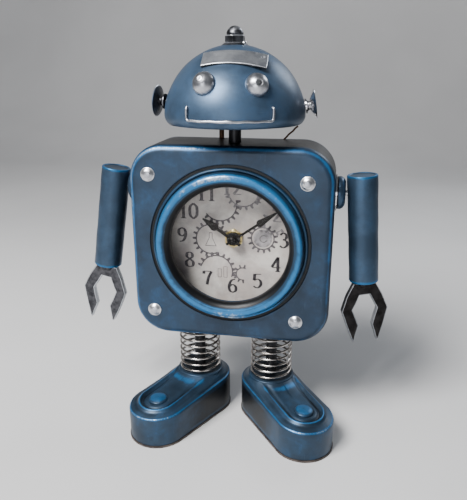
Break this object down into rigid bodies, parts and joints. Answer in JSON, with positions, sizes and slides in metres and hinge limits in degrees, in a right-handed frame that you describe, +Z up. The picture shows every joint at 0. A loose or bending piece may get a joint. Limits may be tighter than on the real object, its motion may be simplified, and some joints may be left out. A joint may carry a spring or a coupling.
{
  "type": "robot table clock",
  "caption": "Steel robot figure with a round clock in its square body, a domed head, tube arms with open claws, spring legs and splayed feet.",
  "frame": {"origin": "on the table below the middle of the robot's outer box", "axes": "+Z up, the face and the dial look along -Y, +X is the side of the robot's left hand"},
  "size_m": [0.194, 0.09, 0.24],
  "materials": {
    "blue_paint": "distressed dark blue paint rubbed back to steel on its edges",
    "dark_steel": "dark aged steel, worn bright on its edges",
    "bright_steel": "satin silver steel with light scratches",
    "polished_steel": "polished steel",
    "black_steel": "black",
    "brass": "satin brass",
    "copper": "copper winding",
    "black_plastic": "moulded black plastic",
    "board": "green circuit board",
    "dial_print": "printed cream card",
    "glass": "clear",
    "rubber": "black",
    "cell_wrap": "printed sleeve",
    "brown_steel": "brown oxide"
  },
  "bodies": {
    "body": {"body_shell": "blue_paint", "back_cover": "blue_paint", "bezel_ring": "blue_paint", "dial_glass": "glass", "glass_gasket": "rubber", "dial_plate": "dial_print", "corner_rivets": "bright_steel", "corner_posts": "bright_steel", "back_screws": "bright_steel", "movement_nut": "brass", "movement_front_case": "black_plastic", "movement_back_case": "black_plastic", "gear_bridge": "bright_steel", "circuit_board": "board", "motor_coil": "copper", "motor_stator": "bright_steel", "battery": "cell_wrap", "battery_contacts": "brass", "neck_rod": "black_steel", "neck_sleeve": "black_steel", "neck_nuts": "bright_steel", "finial_collar": "dark_steel", "acorn_nut": "dark_steel", "rear_post": "brown_steel", "neck_lead": "brown_steel", "leg_rod_left": "black_steel", "leg_rod_right": "black_steel", "leg_nuts": "bright_steel", "leg_spring_left": "polished_steel", "leg_spring_right": "polished_steel", "spring_washers": "dark_steel", "shoulder_boss_left": "blue_paint", "shoulder_boss_right": "blue_paint", "shoulder_bolt_left": "bright_steel", "shoulder_bolt_right": "bright_steel", "shoulder_washers": "bright_steel", "shoulder_nuts": "bright_steel"},
    "head": {"head_dome": "blue_paint", "head_base_plate": "dark_steel", "brow_plate": "bright_steel", "eye_left": "bright_steel", "eye_right": "bright_steel", "mouth_wire": "polished_steel", "ear_left": "polished_steel", "ear_right": "polished_steel"},
    "minute": {"minute_hand": "black_steel", "minute_arbor": "brass", "hand_cap": "black_steel"},
    "hour": {"hour_hand": "black_steel", "hour_wheel": "brass"},
    "motion": {"motion_wheel": "brass", "setting_knob": "black_plastic"},
    "arm_left": {"arm_tube_left": "blue_paint"},
    "arm_right": {"arm_tube_right": "blue_paint"},
    "hand_left": {"claw_left": "dark_steel"},
    "hand_right": {"claw_right": "dark_steel"},
    "foot_left": {"foot_left": "blue_paint", "sole_left": "black_steel"},
    "foot_right": {"foot_right": "blue_paint", "sole_right": "black_steel"}
  },
  "joints": [
    {"name": "head_swivel", "type": "hinge", "parent": "body", "child": "head", "pos_m": [0.00311, 0.00543, 0.1885], "axis": [0, 0, 1], "range_deg": [-25, 25]},
    {"name": "shoulder_left", "type": "hinge", "parent": "body", "child": "arm_left", "pos_m": [-0.0634, 0.00543, 0.1505], "axis": [-1, 0, 0], "range_deg": [-60, 150]},
    {"name": "shoulder_right", "type": "hinge", "parent": "body", "child": "arm_right", "pos_m": [0.06961, 0.00543, 0.1505], "axis": [-1, 0, 0], "range_deg": [-60, 150]},
    {"name": "wrist_left", "type": "hinge", "parent": "arm_left", "child": "hand_left", "pos_m": [-0.07996, 0.00543, 0.09852], "axis": [-0.1599, 0, -0.9871], "range_deg": [-90, 90]},
    {"name": "wrist_right", "type": "hinge", "parent": "arm_right", "child": "hand_right", "pos_m": [0.08122, 0.00543, 0.09791], "axis": [0.0819, 0, -0.9966], "range_deg": [-90, 90]},
    {"name": "ankle_left", "type": "hinge", "parent": "body", "child": "foot_left", "pos_m": [-0.02059, 0.00813, 0], "axis": [0, 0, 1], "range_deg": [-15, 15]},
    {"name": "ankle_right", "type": "hinge", "parent": "body", "child": "foot_right", "pos_m": [0.0268, 0.00813, 0], "axis": [0, 0, 1], "range_deg": [-15, 15]},
    {"name": "minute_spin", "type": "hinge", "parent": "body", "child": "minute", "pos_m": [0.00311, 0.00543, 0.121], "axis": [0, 1, 0], "continuous": true},
    {"name": "hour_spin", "type": "hinge", "parent": "body", "child": "hour", "pos_m": [0.00311, 0.00543, 0.121], "axis": [0, 1, 0], "continuous": true},
    {"name": "motion_spin", "type": "hinge", "parent": "body", "child": "motion", "pos_m": [-0.00199, 0.00543, 0.12609], "axis": [0, 1, 0], "continuous": true}
  ],
  "couplings": [
    {"joint": "hour_spin", "follows": "minute_spin", "ratio": 0.083333},
    {"joint": "motion_spin", "follows": "minute_spin", "ratio": -0.33333}
  ]
}
